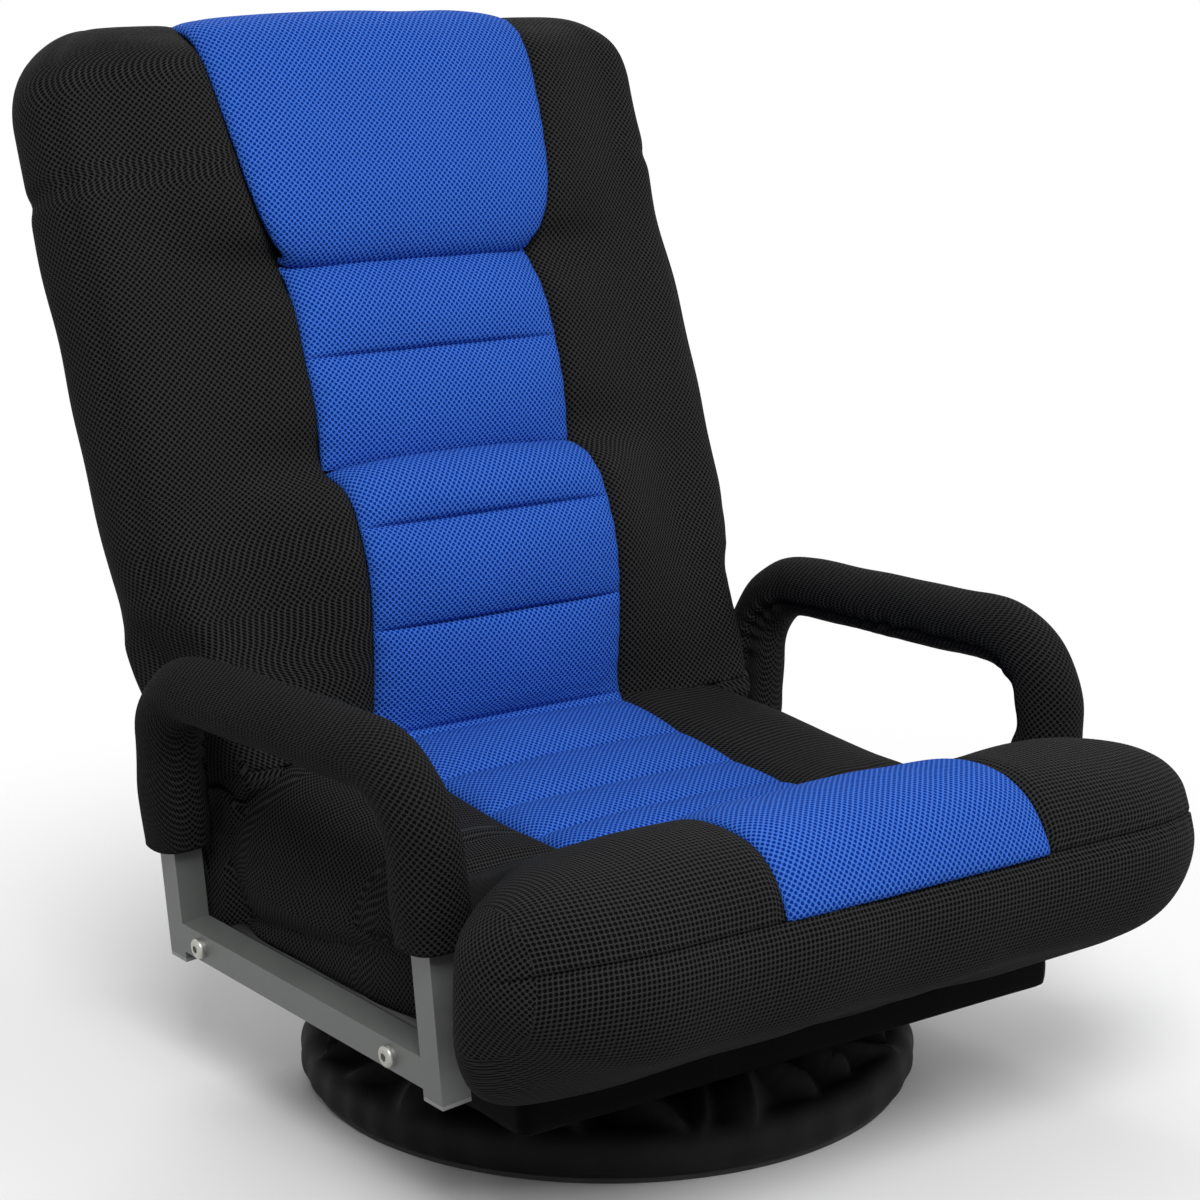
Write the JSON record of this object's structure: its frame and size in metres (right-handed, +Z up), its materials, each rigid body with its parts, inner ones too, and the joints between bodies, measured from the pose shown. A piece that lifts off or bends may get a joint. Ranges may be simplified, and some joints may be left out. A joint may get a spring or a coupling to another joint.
{
  "type": "floor gaming chair",
  "caption": "Legless reclining floor chair: padded mesh seat, front bolster and channelled back on a notched hinge, padded tube armrests, round cloth-covered swivel base.",
  "frame": {"origin": "on the floor, on the swivel axis, at the middle of the base ring", "axes": "+Z up, the chair faces -Y, +X to the sitter's left"},
  "size_m": [0.554, 0.6928, 0.6862],
  "materials": {
    "black_mesh": "matte",
    "blue_mesh": "matte",
    "black_nylon": "satin",
    "webbing": "matte",
    "grey_paint": "satin",
    "grey_plastic": "matte",
    "zinc": "satin",
    "cage_plastic": "matte",
    "black_rubber": "matte",
    "hinge_steel": "satin",
    "black_paint": "satin"
  },
  "bodies": {
    "base": {"base_foot_ring": "black_rubber", "base_ring": "black_paint", "base_long_spoke": "black_paint", "base_short_spokes": "black_paint", "base_cover": "black_nylon", "swivel_lower_plate": "zinc", "swivel_balls": "zinc", "swivel_ball_cage": "cage_plastic", "base_plate_bolts": "zinc", "base_plate_nuts": "zinc"},
    "seat": {"swivel_upper_plate": "zinc", "king_pin": "zinc", "seat_plate_bolts": "zinc", "seat_plate_nuts": "zinc", "seat_carriers": "black_paint", "seat_front_tube": "black_paint", "seat_rear_tube": "black_paint", "seat_side_tube_left": "black_paint", "seat_side_tube_right": "black_paint", "seat_straps": "webbing", "seat_bottom_cover": "black_nylon", "seat_cushion": "black_mesh", "seat_pad": "blue_mesh", "front_bolster": "black_mesh", "bolster_pad": "blue_mesh", "arm_loop_left": "grey_paint", "arm_loop_right": "grey_paint", "side_rail_left": "grey_paint", "side_rail_right": "grey_paint", "arm_sleeve_left": "black_mesh", "arm_sleeve_right": "black_mesh", "arm_end_caps": "grey_plastic", "arm_bolts": "zinc", "arm_nuts": "zinc", "arm_spacers": "grey_plastic", "outer_cheek_left": "hinge_steel", "outer_cheek_right": "hinge_steel", "inner_cheek_left": "hinge_steel", "inner_cheek_right": "hinge_steel", "hinge_pin_left": "zinc", "hinge_pin_right": "zinc", "pawl_pin_left": "zinc", "pawl_pin_right": "zinc", "pawl_spring_left": "zinc", "pawl_spring_right": "zinc"},
    "back": {"notched_wheel_left": "hinge_steel", "notched_wheel_right": "hinge_steel", "back_frame_tube": "black_paint", "back_cross_tubes": "black_paint", "back_straps": "webbing", "back_cushion": "black_mesh", "headrest_pad": "blue_mesh", "upper_back_pad": "blue_mesh", "lumbar_pad": "blue_mesh"},
    "pawl_left": {"pawl_left": "hinge_steel"},
    "pawl_right": {"pawl_right": "hinge_steel"}
  },
  "joints": [
    {"name": "swivel", "type": "hinge", "parent": "base", "child": "seat", "pos_m": [0, 0, 0], "axis": [0, 0, 1], "continuous": true},
    {"name": "recline", "type": "hinge", "parent": "seat", "child": "back", "pos_m": [0, 0.138, 0.15], "axis": [-1, 0, 0], "range_deg": [-22, 66]},
    {"name": "pawl_left_drop", "type": "hinge", "parent": "seat", "child": "pawl_left", "pos_m": [0.1962, 0.1644, 0.10754], "axis": [-1, 0, 0], "range_deg": [0, 14]},
    {"name": "pawl_right_drop", "type": "hinge", "parent": "seat", "child": "pawl_right", "pos_m": [-0.1962, 0.1644, 0.10754], "axis": [-1, 0, 0], "range_deg": [0, 14]}
  ]
}
